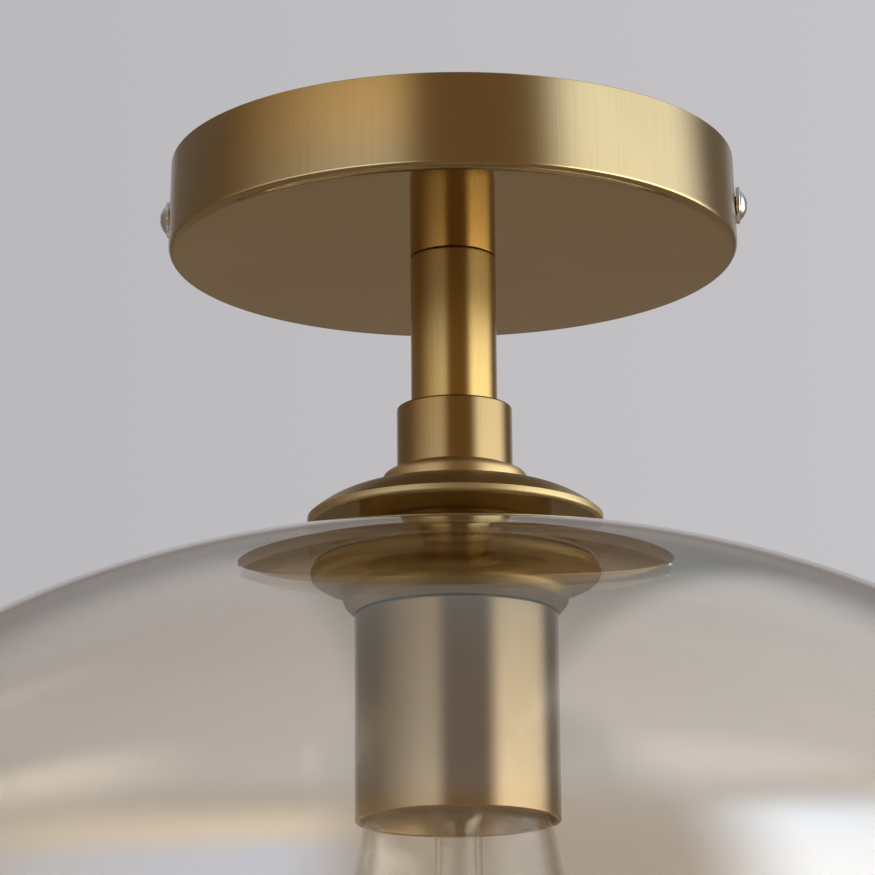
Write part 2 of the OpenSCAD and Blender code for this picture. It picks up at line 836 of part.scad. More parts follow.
module holder_body() {
    color(white)
    difference() {
        soft_ring(holder_r, 0, holder_top, holder_bottom, 0.8);
        translate([0, 0, groove_top])
            cylinder(r = hub_boss_r + slip, h = hub_boss_t + 1);
        translate([0, 0, groove_floor])
            cylinder(r = tube_hole_r, h = groove_h + 0.5);
        for (s = [-1, 1]) {
            translate([s < 0 ? -terminal_x : 0, -groove_h / 2, groove_floor])
                cube([terminal_x, groove_h, holder_top - groove_floor + 1]);
            terminal_pocket(s, slip);
        }
        translate([0, 0, ledge_bottom - 0.5])
            cylinder(r = chamber_r, h = chamber_top - ledge_bottom + 0.5);
        translate([-leaf_root_x - 0.5, -leaf_w / 2 - play, ledge_top])
            cube([leaf_root_x, leaf_w + 2 * play, chamber_top - ledge_top]);
        translate([-foot_x, 0, chamber_top - 1])
            cylinder(r = foot_r + slip, h = 3);
        translate([strip_x - slip, -strip_w / 2 - slip, ledge_bottom - 1])
            cube([strip_t + 2 * slip, strip_w + 2 * slip, terminal_floor - ledge_bottom + 2]);
        translate([0, 0, holder_bottom - 1])
            cylinder(r = shell_bore_r, h = ledge_bottom - holder_bottom + 1);
        plate_screw_places()
            translate([0, 0, holder_top - 6])
                cylinder(r = plate_screw_r + slip, h = 8);
    }
}

module holder_terminals() {
    color(brass)
    for (s = [-1, 1])
        difference() {
            union() {
                translate([s * terminal_x - terminal_l / 2, -terminal_w / 2, terminal_floor])
                    cube([terminal_l, terminal_w, terminal_top - terminal_floor]);
                if (s < 0)
                    translate([-foot_x, 0, ledge_top + leaf_t + foot_gap])
                        cylinder(r = foot_r, h = terminal_floor - ledge_top - leaf_t);
            }
            translate([s * (terminal_x - terminal_l / 2 - 1), 0, groove_mid])
                rotate([0, s * 90, 0])
                    cylinder(r = wire_r + 0.15, h = terminal_l - 0.2);
            translate([s * terminal_x, 0, groove_mid])
                cylinder(r = 1 + slip, h = 6);
        }
}

module holder_terminal_screws() {
    color(steel)
    for (s = [-1, 1])
        translate([s * terminal_x, 0, groove_mid + wire_r + slip])
            difference() {
                cylinder(r = 1, h = terminal_top - groove_mid - wire_r - slip);
                translate([-1.5, -0.2, terminal_top - groove_mid - wire_r - slip - 0.5])
                    cube([3, 0.4, 1]);
            }
}

module centre_contact() {
    reach = contact_z + slip;
    root = ledge_top + slip;
    color(brass)
    translate([0, leaf_w / 2, 0])
        rotate([90, 0, 0])
            linear_extrude(leaf_w)
                polygon([
                    [-leaf_root_x, root], [-chamber_r + 0.8, root], [-4, reach], [3, reach],
                    [5, reach + 0.8], [5, reach + 0.8 + leaf_t], [2.8, reach + leaf_t],
                    [-3.8, reach + leaf_t], [-chamber_r + 1, root + leaf_t],
                    [-leaf_root_x, root + leaf_t]
                ]);
}

module side_contact() {
    color(brass)
    translate([strip_x, -strip_w / 2, ledge_bottom + slip])
        cube([strip_t, strip_w, terminal_floor - ledge_bottom - 2 * slip]);
}

module threaded_shell() {
    top = ledge_bottom - slip;
    bottom = shell_bottom;
    inner = shell_mean_r;
    outer = shell_mean_r + shell_t;
    run_top = top - 1.4;
    flare = thread_amp;
    color(brass)
    threaded_wall(concat(
        [[outer, top, 0]],
        thread_run(outer, thread_amp, run_top, bottom, cap_pitch, outer, outer + flare),
        thread_run(inner, thread_amp, bottom, run_top, cap_pitch, inner + flare, inner),
        [[inner, top - shell_t, 0], [inner - 2, top - shell_t, 0], [inner - 2, top, 0]]
    ), thread_sides, cap_pitch);
}

// Bulb
module bulb_cap() {
    skirt_r = cap_mean_r + 0.35;
    bore_r = cap_mean_r - thread_amp - 0.35;
    root_r = cap_mean_r - thread_amp;
    color(brass)
    threaded_wall(concat(
        [[bore_r, cap_start, 0], [root_r - 0.1, cap_start, 0]],
        thread_run(cap_mean_r, thread_amp, thread_start, thread_end, cap_pitch, root_r, cap_mean_r),
        [[skirt_r, cap_end + 2.4, 0], [skirt_r, cap_end, 0], [bore_r, cap_end, 0]]
    ), thread_sides, cap_pitch);
}

module cap_insulator() {
    rim = cap_mean_r - thread_amp - 0.45;
    color("#2a2a2c")
    turned([
        [0, contact_z - 1.3], [4.9, contact_z - 1.3], [rim, cap_start + 0.3],
        [rim, cap_start - 1.5], [0, cap_start - 1.5]
    ]);
}

module tip_contact() {
    color(steel)
    turned(concat(
        [[0, contact_z - 1.25], [4.6, contact_z - 1.25]],
        [[4.4, contact_z - 0.5], [3, contact_z - 0.1], [0, contact_z]]
    ));
}

glass_top = cap_end + 3;
neck_glass_r = cap_mean_r - thread_amp - 0.45;
belly_z = bulb_bottom + bulb_r + 3;
bulb_outline = concat(
    smooth_path([
        [neck_glass_r, glass_top], [neck_glass_r, cap_end - 0.4],
        [neck_glass_r + 1.6, cap_end - 2.4], [shoulder_r - 1.4, cap_end - 5.6],
        [shoulder_r, cap_end - 9], [shoulder_r + 1.7, cap_end - 18],
        [bulb_r - 3.4, belly_z + 24], [bulb_r - 0.6, belly_z + 9]
    ], 6),
    [for (i = [0:18]) let (a = -5 * i)
        [bulb_r * cos(a), belly_z + (belly_z - bulb_bottom) * sin(a)]]
);

module bulb_envelope() {
    last = len(bulb_outline) - 1;
    wall = inset(bulb_outline, -bulb_glass_t);
    inner = [for (i = [last:-1:0]) i == last ? [0, bulb_bottom + bulb_glass_t] : wall[i]];
    color(clear_glass)
    turned(concat(bulb_outline, inner));
}

module bulb_stem() {
    flare = neck_glass_r - bulb_glass_t - 0.3;
    pinch = cage_top + 6;
    color(clear_glass)
    turned(concat(
        smooth_path([
            [flare, cap_end - 0.5], [flare - 3.6, cap_end - 3], [stem_glass_r, cap_end - 9],
            [stem_glass_r, pinch + 6], [3.2, pinch], [1.6, pinch - 3], [1.6, cage_bottom + 3],
            [2.8, cage_bottom], [1.6, cage_bottom - 3], [0, cage_bottom - 3.4]
        ], 4),
        [[0, pinch + 8]],
        smooth_path([
            [stem_glass_r - 1.2, pinch + 10], [stem_glass_r - 1.2, cap_end - 10],
            [flare - 4.6, cap_end - 2.6], [flare - 1.4, cap_end - 0.5]
        ], 4)
    ));
}

// Corner k of the filament's cage, up and down in turn
function cage_corner(k) =
    let (a = 348 * k / cage_strands + 6, top = k % 2 == 0)
    let (r = top ? cage_top_r : cage_bottom_r)
    [r * cos(a), r * sin(a), top ? cage_top : cage_bottom];

module filament_supports() {
    hook = filament_d / 2 + 0.3;
    color(steel)
    for (k = [0:cage_strands]) {
        corner = cage_corner(k);
        lead = k == 0 || k == cage_strands;
        out = unit([corner[0], corner[1], 0]);
        start = k % 2 == 1 ? 2.9 : lead ? 3.4 : 1.75;
        lift = lead ? 6 : 0;
        tube_along([
            start * out + [0, 0, corner[2] + lift],
            (norm([corner[0], corner[1]]) - hook) * out + [0, 0, corner[2]]
        ], 0.5, 6);
    }
}

// The filament bends round each hook in a half circle
bend_at_hook = 0.6;
function filament_bend(k) =
    let (c = cage_corner(k), up = k % 2 == 0 ? 1 : -1)
    let (out = unit([c[0], c[1], 0]), along = [-out[1], out[0], 0])
    [for (a = [180:-30:0])
        c + bend_at_hook * (cos(a) * along * -1 + [0, 0, up * (sin(a) - 1)])];

module filament() {
    color("#6d5a48")
    tube_along([for (k = [0:cage_strands]) each filament_bend(k)], filament_d, 6);
}

// Wires: each list runs from the terminal block to the far end of its wire
wire_in_y = pole_screw_y - 1.5;
down_x = wire_r + 0.4;
bend_z = groove_mid + 4;

function wire_tail(side) = [
    [side * down_x, 0, tube_top - 3], [side * down_x, 0, tube_top - 8],
    [side * down_x, 0, bend_z + 6], [side * down_x, 0, bend_z + 0.6],
    [side * (down_x + 1.2), 0, groove_mid + 1.4], [side * (down_x + 4), 0, groove_mid],
    [side * (terminal_x - terminal_l / 2 - 1.5), 0, groove_mid],
    [side * (terminal_x - 0.3), 0, groove_mid]
];
neutral_route = concat([
    [pole_xs[0], wire_in_y, wire_z], [pole_xs[0], block_w / 2 + 1.5, wire_z],
    [13, 12.5, -8], [8, 11, -6.5], [4, 6, -5.5], [1.8, 2, -6.8]
], wire_tail(1));
live_route = concat([
    [pole_xs[1], wire_in_y, wire_z], [pole_xs[1], block_w / 2 + 1.5, wire_z],
    [19, 16, -9], [11, 19, -9.5], [2, 17, -8.5], [-3.5, 11, -6.8], [-3.6, 5, -5.8], [-2, 1.6, -7]
], wire_tail(-1));
tag_wire_z = -strap_t - wire_r - 0.5;
earth_route = [
    [pole_xs[2], wire_in_y, wire_z], [pole_xs[2], block_w / 2 + 1.5, wire_z],
    [27, 17, -7], [20, 24, -5], [8, 27, -4.5], [-6, 26, -4.5], [-17, 23, -4.5],
    [-earth_screw_x + 2, 18, tag_wire_z - 0.3], [-earth_screw_x, 13, tag_wire_z],
    [-earth_screw_x, 10.5, tag_wire_z], [-earth_screw_x, 6.2, tag_wire_z]
];

module live_wire() {
    color("#6b4426")
    tube_along(smooth_path(live_route, 4), wire_d);
}

module neutral_wire() {
    color("#2f62a8")
    tube_along(smooth_path(neutral_route, 4), wire_d);
}

module earth_wire() {
    color("#7c9a2c")
    tube_along(smooth_path(earth_route, 4), wire_d);
}

ceiling_bracket();
ear_nuts();
earth_screw();
earth_tag();
terminal_block();
terminal_barrels();
terminal_screws();
canopy();
side_washer(-1);  // side_washer_left
side_washer(1);  // side_washer_right
side_screw(-1);  // side_screw_left
side_screw(1);  // side_screw_right
canopy_washer();
canopy_nut();
threaded_tube();
stem_tube();
stem_bushes();
collar();
collar_flange();
shade_cap();
neck_spacer();
upper_gasket();
glass_grommet();
glass_shade();
lower_gasket();
bell_flange();
socket_cup();
holder_saddle();
holder_screws();
holder_body();
holder_terminals();
holder_terminal_screws();
centre_contact();
side_contact();
threaded_shell();
bulb_cap();
cap_insulator();
tip_contact();
bulb_envelope();
bulb_stem();
filament_supports();
filament();
live_wire();
neutral_wire();
earth_wire();
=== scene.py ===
import json
import math

import bpy
from mathutils import Matrix, Vector


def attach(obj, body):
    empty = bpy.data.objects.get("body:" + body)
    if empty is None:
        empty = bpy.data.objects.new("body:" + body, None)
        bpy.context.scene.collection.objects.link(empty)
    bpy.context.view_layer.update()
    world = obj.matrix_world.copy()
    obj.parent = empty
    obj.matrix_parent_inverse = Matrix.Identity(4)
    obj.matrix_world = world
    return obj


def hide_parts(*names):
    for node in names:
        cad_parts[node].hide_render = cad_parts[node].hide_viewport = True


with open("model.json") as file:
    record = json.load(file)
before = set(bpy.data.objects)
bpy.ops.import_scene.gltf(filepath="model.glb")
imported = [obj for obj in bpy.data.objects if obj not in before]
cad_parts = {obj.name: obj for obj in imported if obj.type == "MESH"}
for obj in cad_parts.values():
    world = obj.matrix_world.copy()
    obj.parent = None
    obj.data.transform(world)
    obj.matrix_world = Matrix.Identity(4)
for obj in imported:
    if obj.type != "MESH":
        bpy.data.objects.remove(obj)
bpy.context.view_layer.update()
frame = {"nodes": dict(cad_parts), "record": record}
nodes = frame["nodes"]
scene = bpy.context.scene
scene.view_settings.view_transform = "Standard"
mm = 0.001
print("frame loaded:", len(nodes), "nodes")


# Camera

cameraPose = {
    "place": (0.03962, -0.75601, -0.25804),
    "lens": 154.41, "sensor": 36,
    "pitch": 14.735,  # degrees above the horizon
    "turn": 3.27,  # degrees about the vertical, to the left
    "roll": -0.486,
    "near": 0.01, "far": 50,
}


def addCamera(pose):
    bpy.ops.object.camera_add(location=pose["place"])
    camera = bpy.context.object
    pitch, turn, roll = (math.radians(pose[k]) for k in ("pitch", "turn", "roll"))
    tilt = Matrix.Rotation(math.pi / 2 + pitch, 4, "X")
    aim = Matrix.Rotation(turn, 4, "Z") @ tilt @ Matrix.Rotation(roll, 4, "Z")
    camera.rotation_euler = aim.to_euler()
    camera.data.lens = pose["lens"]
    camera.data.sensor_width = pose["sensor"]
    camera.data.clip_start = pose["near"]
    camera.data.clip_end = pose["far"]
    scene.camera = camera


addCamera(cameraPose)
print("camera in place")


# Shader maths: a value that adds its own Math nodes

class Value:
    def __init__(self, shade, socket):
        self.shade, self.socket = shade, socket

    def math(self, operation, *others):
        sockets = {i: v for i, v in enumerate((self, *others))}
        return self.shade.add("Math", {"operation": operation}, sockets)

    def __add__(self, other):
        return self.math("ADD", other)

    def __mul__(self, other):
        return self.math("MULTIPLY", other)

    def __sub__(self, other):
        return self.math("SUBTRACT", other)

    def __rsub__(self, other):
        return self.shade.add("Math", {"operation": "SUBTRACT"}, {0: other, 1: self})

    def __truediv__(self, other):
        return self.math("DIVIDE", other)

    def __pow__(self, other):
        return self.math("POWER", other)

    __radd__ = __add__
    __rmul__ = __mul__

    def between(self, low, high):  # 0 below low, 1 above high, smooth from one to the other
        sockets = {"Value": self, "From Min": low, "From Max": high}
        return self.shade.add("MapRange", {"interpolation_type": "SMOOTHSTEP"}, sockets)


class Shade:
    def __init__(self, name, world=None):
        self.owner = world or bpy.data.materials.new(name)
        self.owner.use_nodes = True
        self.tree = self.owner.node_tree
        self.tree.nodes.clear()

    def add(self, kind, settings=None, sockets=None, out=0):
        node = self.tree.nodes.new("ShaderNode" + kind)
        for key, setting in (settings or {}).items():
            setattr(node, key, setting)
        for key, given in (sockets or {}).items():
            target = node.inputs[key]
            if isinstance(given, Value):
                self.tree.links.new(given.socket, target)
            elif isinstance(given, tuple) and len(given) == 3 and len(target.default_value) == 4:
                target.default_value = (*given, 1)
            else:
                target.default_value = given
        return Value(self, node.outputs[out])

    def point(self):  # a place on the piece, in metres
        return self.add("TexCoord", out="Object")

    def parts(self, vector):  # its x, y and z
        outputs = self.add("SeparateXYZ", sockets={0: vector}).socket.node.outputs
        return [Value(self, output) for output in outputs]

    def vector(self, x, y, z):
        return self.add("CombineXYZ", sockets={0: x, 1: y, 2: z})

    def noise(self, vector, scale, detail=2.0, rough=0.5):
        sockets = {"Vector": vector, "Scale": scale, "Detail": detail, "Roughness": rough}
        return self.add("TexNoise", {"noise_dimensions": "3D"}, sockets)

    def blend(self, factor, first, second):  # colours, the first at 0 and the second at 1
        mix = self.tree.nodes.new("ShaderNodeMix")
        mix.data_type = "RGBA"
        mix.clamp_factor = True
        for socket, given in ((mix.inputs[0], factor), (mix.inputs[6], first), (mix.inputs[7], second)):
            if isinstance(given, Value):
                self.tree.links.new(given.socket, socket)
            else:
                socket.default_value = (*given, 1) if isinstance(given, tuple) else given
        return Value(self, mix.outputs[2])

    def bump(self, height, strength, distance):
        return self.add("Bump", {}, {"Height": height, "Strength": strength, "Distance": distance})

    def surface(self, shader):
        output = self.tree.nodes.new("ShaderNodeOutputMaterial")
        self.tree.links.new(shader.socket, output.inputs["Surface"])
        return self.owner

    def principled(self, **sockets):
        return self.add("BsdfPrincipled", {}, {k.replace("_", " "): v for k, v in sockets.items()})


# World: a pale wall that the camera sees, and the dim studio that the metal and the glass mirror

tones = {
    "wallLeft": (0.495, 0.483, 0.500), "wallRight": (0.580, 0.567, 0.587),
    "front": (0.25, 0.165, 0.085), "back": (0.20, 0.165, 0.140), "backLow": (0.285, 0.23, 0.178),
    "ceilingLeft": (0.68, 0.68, 0.71), "ceilingRight": (1.05, 1.08, 1.15), "strip": (0.26, 0.335, 0.37),
    "wallBehind": (0.48, 0.465, 0.48), "backHigh": (0.32, 0.31, 0.31),
    "below": (0.16, 0.125, 0.09),
}
# Sides in degrees round from the front and top in degrees up, each with its softness. The glow
# has one colour under the horizon, one low over it and one high up.
softBoxes = {
    "right": {"from": 46, "fromSoft": 12, "to": 117, "toSoft": 15, "top": 33, "topSoft": 7,
              "under": (7.0, 7.0, 6.6), "low": (2.0, 2.15, 2.40), "high": (1.95, 2.25, 2.65)},
    "left": {"from": -66, "fromSoft": 40, "to": -15, "toSoft": 9, "top": 31, "topSoft": 8,
             "under": (2.9, 3.0, 3.2), "low": (0.80, 0.92, 1.20), "high": (1.27, 1.03, 0.71)},
}
bands = {  # where one tone gives way to the next, in parts of the direction's x, y and z
    "backLow": (-0.30, -0.05), "backHigh": (0.36, 0.52), "frontToBack": (-0.1, 0.4),
    "ceilingAcross": (-0.5, 0.7), "overheadLeft": (-0.20, -0.13), "overheadRight": (0.13, 0.20),
    "below": (-0.85, -0.45), "behind": (0.80, 0.93), "behindFoot": (0.08, 0.16), "behindTop": (0.34, 0.44),
}
turns = {  # the same in degrees round from the front, or up from the horizon
    "ceiling": (28, 48), "stripLeft": (-28, -8), "stripRight": (26, 46), "stripTop": (55, 80),
    "boxFoot": (-14, -5), "underToLow": (-5, 4), "lowToHigh": (13, 25),
}
degreesPerRadian = 57.29578
wallSlope = 3.0


def boxGlow(around, up, box):
    left, right, top = ((box[k] - box[k + "Soft"], box[k] + box[k + "Soft"]) for k in ("from", "to", "top"))
    across = around.between(*left) * (1 - around.between(*right))
    return across * (up.between(*turns["boxFoot"]) * (1 - up.between(*top)))


def makeWorld():
    world = bpy.data.worlds.new("studio")
    scene.world = world
    shade = Shade("", world)
    x, y, z = shade.parts(shade.add("TexCoord", out="Generated"))
    wall = shade.blend(x * wallSlope + 0.5, tones["wallLeft"], tones["wallRight"])
    around = x.math("ARCTAN2", y * -1.0) * degreesPerRadian
    up = z.math("ARCSINE") * degreesPerRadian
    back = shade.blend(z.between(*bands["backLow"]), tones["backLow"], tones["back"])
    back = shade.blend(z.between(*bands["backHigh"]), back, tones["backHigh"])
    studio = shade.blend(y.between(*bands["frontToBack"]), tones["front"], back)
    ceiling = shade.blend(x.between(*bands["ceilingAcross"]), tones["ceilingLeft"], tones["ceilingRight"])
    strip = around.between(*turns["stripLeft"]) * (1 - around.between(*turns["stripRight"]))
    strip = strip * (1 - up.between(*turns["stripTop"]))
    overhead = x.between(*bands["overheadLeft"]) * (1 - x.between(*bands["overheadRight"]))
    ceiling = shade.blend(strip.math("MAXIMUM", overhead), ceiling, tones["strip"])
    studio = shade.blend(up.between(*turns["ceiling"]), studio, ceiling)
    studio = shade.blend(1 - z.between(*bands["below"]), studio, tones["below"])
    behind = y.between(*bands["behind"]) * z.between(*bands["behindFoot"])
    behind = behind * (1 - z.between(*bands["behindTop"]))
    studio = shade.blend(behind, studio, tones["wallBehind"])
    for box in softBoxes.values():
        glow = shade.blend(up.between(*turns["underToLow"]), box["under"], box["low"])
        glow = shade.blend(up.between(*turns["lowToHigh"]), glow, box["high"])
        studio = shade.blend(boxGlow(around, up, box), studio, glow)
    camera, through = (shade.add("LightPath", out=k) for k in ("Is Camera Ray", "Is Transmission Ray"))
    shown = shade.blend(camera.math("MAXIMUM", through), studio, wall)
    background = shade.add("Background", {}, {"Color": shown, "Strength": 1.0})
    output = shade.tree.nodes.new("ShaderNodeOutputWorld")
    shade.tree.links.new(background.socket, output.inputs["Surface"])


makeWorld()


# Floor

# The camera sees the pale tone and every other ray the mirrored one.
floorShape = {"height": -0.9, "width": 4.0, "tone": (0.82, 0.80, 0.79), "mirrored": (0.42, 0.33, 0.26),
              "grain": 40, "fleck": 0.97, "roughness": 0.8, "gloss": 0.2}


def makeFloor(shape):
    bpy.ops.object.select_all(action="DESELECT")
    bpy.ops.mesh.primitive_plane_add(size=shape["width"], location=(0, 0, shape["height"]))
    floor = bpy.context.object
    floor.name = "floor"
    shade = Shade("paleFloor")
    grain = shade.noise(shade.point(), shape["grain"], 3)
    tone = shade.blend(grain, shape["tone"], tuple(c * shape["fleck"] for c in shape["tone"]))
    tone = shade.blend(shade.add("LightPath", out="Is Camera Ray"), shape["mirrored"], tone)
    solid = shade.principled(Base_Color=tone, Roughness=shape["roughness"], Specular_IOR_Level=shape["gloss"])
    clear = shade.add("BsdfTransparent", {}, {"Color": (1.0, 1.0, 1.0)})
    below = shade.add("NewGeometry", out="Backfacing")  # from under it the floor is clear
    floor.data.materials.append(shade.surface(shade.add("MixShader", {}, {0: below, 1: solid, 2: clear})))


makeFloor(floorShape)
print("stage made")


# Finishes

# How many of each mark a metre or a turn holds, and how far the marks change the surface.
marks = {
    "cloud": 28, "cloudy": (0.35, 0.75), "across": 14, "thinner": 4, "thinAcross": 60,
    "ring": 12, "thinRing": 40, "ringDrift": 9,
    "streakShare": 0.6, "fineShare": 0.4, "deepShare": 0.2,
    "lineRough": 0.08, "cloudRough": 0.03, "meanRough": 0.055,
    "strength": 0.3, "depth": 0.00003,
    "smoothOver": 0.0006, "smoother": 0.72, "flatter": 0.9,
}
axisGap = 1e-5  # keeps the division off zero on the axis


def upright(shade, x, y, z, along, across):  # brush lines that run up a wall
    radius = (x * x + y * y) ** 0.5
    return shade.vector(x / (radius + axisGap) * along, y / (radius + axisGap) * along, z * across)


def rings(shade, x, y, z, across):  # turning lines round the axis
    return shade.vector((x * x + y * y) ** 0.5 * across, x * marks["ringDrift"], z * across)


def brushedBrass(name, look):
    shade = Shade(name)
    point = shade.point()
    x, y, z = shade.parts(point)
    cloud = shade.noise(point, marks["cloud"], 3)
    if look.get("rings"):
        coarse, thin = (rings(shade, x, y, z, look["lines"] * marks[k]) for k in ("ring", "thinRing"))
    else:
        coarse = upright(shade, x, y, z, look["lines"], marks["across"])
        thin = upright(shade, x, y, z, look["lines"] * marks["thinner"], marks["thinAcross"])
    streak = shade.noise(coarse, 1.0, 3, 0.6)
    fine = shade.noise(thin, 1.0, 2, 0.5)
    lines = streak * marks["streakShare"] + fine * marks["fineShare"]
    tone = shade.blend(cloud.between(*marks["cloudy"]), look["base"], look["warm"])
    tone = shade.blend((lines - 0.5) * look["contrast"] + marks["deepShare"], tone, look["deep"])
    rough = lines * marks["lineRough"] + cloud * marks["cloudRough"]
    rough = rough + (look["roughness"] - marks["meanRough"])
    height = look["grain"]
    if "smoothBelow" in look:  # the flat underside is smoother than the wall
        smooth = 1 - z.between(look["smoothBelow"], look["smoothBelow"] + marks["smoothOver"])
        rough = rough * (1 - smooth * marks["smoother"])
        height = (1 - smooth * marks["flatter"]) * look["grain"]
    return shade.surface(shade.principled(
        Base_Color=tone, Metallic=1.0, Roughness=rough,
        Anisotropic=look["stretch"], Anisotropic_Rotation=look["turn"],
        Normal=shade.bump(lines * height, marks["strength"], marks["depth"])))


# Some parts' base tones are painted light: the stem, foot and cup are lit copies of the brass, brighter to
# stand in for light.
brassLooks = {
    "canopy": {"base": (0.43, 0.325, 0.165), "warm": (0.40, 0.29, 0.135), "deep": (0.30, 0.20, 0.085),
               "lines": 130, "contrast": 0.7, "roughness": 0.19, "grain": 0.6, "stretch": 0.45, "turn": 0.0,
               "smoothBelow": -0.0195},
    # painted highlight: the stem's base tone is raised above the other brass so its highlights come out
    # brighter
    "stem": {"base": (0.52, 0.345, 0.120), "warm": (0.47, 0.305, 0.098), "deep": (0.37, 0.22, 0.062),
             "lines": 45, "contrast": 0.6, "roughness": 0.28, "grain": 0.5, "stretch": 0.75, "turn": 0.25},
    "collar": {"base": (0.42, 0.290, 0.125), "warm": (0.39, 0.265, 0.11), "deep": (0.26, 0.16, 0.065),
               "lines": 50, "contrast": 0.6, "roughness": 0.24, "grain": 0.5, "stretch": 0.6, "turn": 0.25},
    # painted highlight: the foot's base tone is raised above the other brass so its highlights come out
    # brighter
    "foot": {"base": (0.60, 0.430, 0.205), "warm": (0.55, 0.385, 0.165), "deep": (0.32, 0.20, 0.08),
             "lines": 50, "contrast": 0.5, "roughness": 0.42, "grain": 0.4, "stretch": 0.6, "turn": 0.25},
    "clamp": {"base": (0.50, 0.385, 0.190), "warm": (0.46, 0.34, 0.15), "deep": (0.38, 0.27, 0.11),
              "lines": 60, "contrast": 0.4, "roughness": 0.40, "grain": 0.3, "stretch": 0.2, "turn": 0.0,
              "rings": True},
    # painted light: the cup's base tone is brighter and paler to make up for the tinted glass in front of it
    "cup": {"base": (0.44, 0.34, 0.215), "warm": (0.41, 0.31, 0.185), "deep": (0.32, 0.23, 0.13),
            "lines": 60, "contrast": 0.6, "roughness": 0.22, "grain": 0.5, "stretch": 0.6, "turn": 0.25},
    "neck": {"base": (0.56, 0.40, 0.185), "warm": (0.52, 0.36, 0.15), "deep": (0.42, 0.27, 0.10),
             "lines": 60, "contrast": 0.4, "roughness": 0.12, "grain": 0.3, "stretch": 0.2, "turn": 0.0,
             "rings": True},
}


# Noise scales a metre, the part of the cloud that shows, and how far the grain moves the roughness.
castings = {
    "metal": {"grain": 900, "clouds": 0.12, "stain": 0.7, "spread": 0.16, "bump": 0.15},
    "solder": {"grain": 1400, "clouds": 0.12, "stain": 0.7, "spread": 0.16, "bump": 0.4},
    "moulded": {"grain": 700, "clouds": 0.1, "stain": 1.0, "spread": 0.12, "bump": 0.1},
}
stained = (0.3, 0.8)
pitDepth = 0.00004


def cast(name, kind, base, dark, roughness, **more):
    look = castings[kind]
    shade = Shade(name)
    point = shade.point()
    cloud = shade.noise(point, look["grain"] * look["clouds"], 3)
    grain = shade.noise(point, look["grain"], 2)
    return shade.surface(shade.principled(
        Base_Color=shade.blend(cloud.between(*stained) * look["stain"], base, dark),
        Roughness=grain * look["spread"] + (roughness - look["spread"] / 2),
        Normal=shade.bump(grain, look["bump"], pitDepth), **more))


# "belly" is added to the head-on mirror share below the widest part of the shade.
glassLooks = {
    "tintedGlass": {"tint": (0.988, 0.967, 0.930), "edge": (0.70, 0.66, 0.61), "headOn": 0.085, "belly": 0.12,
                    "smear": 0.03, "mirror": (0.95, 0.93, 0.90)},
    "clearGlass": {"tint": (0.985, 0.985, 0.98), "edge": (0.90, 0.90, 0.89), "headOn": 0.04, "belly": 0.0,
                   "smear": 0.02, "mirror": (0.95, 0.95, 0.95)},
}
glassMarks = {"ripple": 16, "smear": 60, "strength": 0.08, "depth": 0.0006,
              "glance": 4.0, "edge": 3.0, "bellyAt": (-0.170, -0.150)}


def sheetGlass(name):
    look = glassLooks[name]
    shade = Shade(name)
    point = shade.point()
    height = shade.parts(point)[2]
    ripple = shade.noise(point, glassMarks["ripple"], 2)
    smear = shade.noise(point, glassMarks["smear"], 3)
    facing = shade.add("LayerWeight", {}, {"Blend": 0.5}, out="Facing")
    straight = (1 - height.between(*glassMarks["bellyAt"])) * look["belly"] + look["headOn"]
    share = facing ** glassMarks["glance"] * (1 - straight) + straight
    clear, edge = (shade.add("BsdfTransparent", {}, {"Color": look[k]}) for k in ("tint", "edge"))
    through = shade.add("MixShader", {}, {0: facing ** glassMarks["edge"], 1: clear, 2: edge})
    shine = shade.principled(Base_Color=look["mirror"], Metallic=1.0, Roughness=smear * look["smear"],
                             Normal=shade.bump(ripple, glassMarks["strength"], glassMarks["depth"]))
    return shade.surface(shade.add("MixShader", {}, {0: share, 1: through, 2: shine}))


finishes = {
    "brushed_brass": brushedBrass("brushedBrass", brassLooks["clamp"]),
    "polished_brass": brushedBrass("smoothBrass", brassLooks["neck"]),
    "bare_brass": cast("bareBrass", "metal", (0.80, 0.62, 0.30), (0.62, 0.45, 0.19), 0.28, Metallic=1.0),
    "zinc_steel": cast("zincSteel", "metal", (0.66, 0.67, 0.68), (0.50, 0.51, 0.54), 0.34, Metallic=1.0),
    "nickel": cast("nickelPlate", "metal", (0.72, 0.71, 0.69), (0.60, 0.59, 0.57), 0.18, Metallic=1.0),
    "tinted_glass": sheetGlass("tintedGlass"),
    "clear_glass": sheetGlass("clearGlass"),
    "ceramic": cast("glazedCeramic", "moulded", (0.84, 0.82, 0.77), (0.78, 0.75, 0.69), 0.22,
                    Coat_Weight=0.4),
    "nylon": cast("nylon", "moulded", (0.82, 0.81, 0.77), (0.78, 0.77, 0.72), 0.45),
    "silicone": cast("silicone", "moulded", (0.62, 0.60, 0.56), (0.56, 0.54, 0.50), 0.5),
    "black_glass": cast("blackGlass", "moulded", (0.012, 0.012, 0.014), (0.02, 0.018, 0.018), 0.12),
    "solder": cast("solder", "solder", (0.58, 0.58, 0.57), (0.42, 0.42, 0.42), 0.42, Metallic=1.0),
    "filament_carbon": cast("filament", "metal", (0.30, 0.22, 0.16), (0.20, 0.14, 0.10), 0.45, Metallic=1.0),
    "wire_brown": cast("brownWire", "moulded", (0.13, 0.055, 0.022), (0.11, 0.045, 0.018), 0.4),
    "wire_blue": cast("blueWire", "moulded", (0.02, 0.08, 0.32), (0.016, 0.065, 0.27), 0.4),
    "wire_green_yellow": cast("earthWire", "moulded", (0.12, 0.30, 0.03), (0.72, 0.60, 0.03), 0.4),
}
slotOf = {part["node"]: part["material_slot"] for part in frame["record"]["subparts"]}
for name, node in nodes.items():
    for i in range(len(node.material_slots)):
        node.material_slots[i].material = finishes[slotOf[name]]
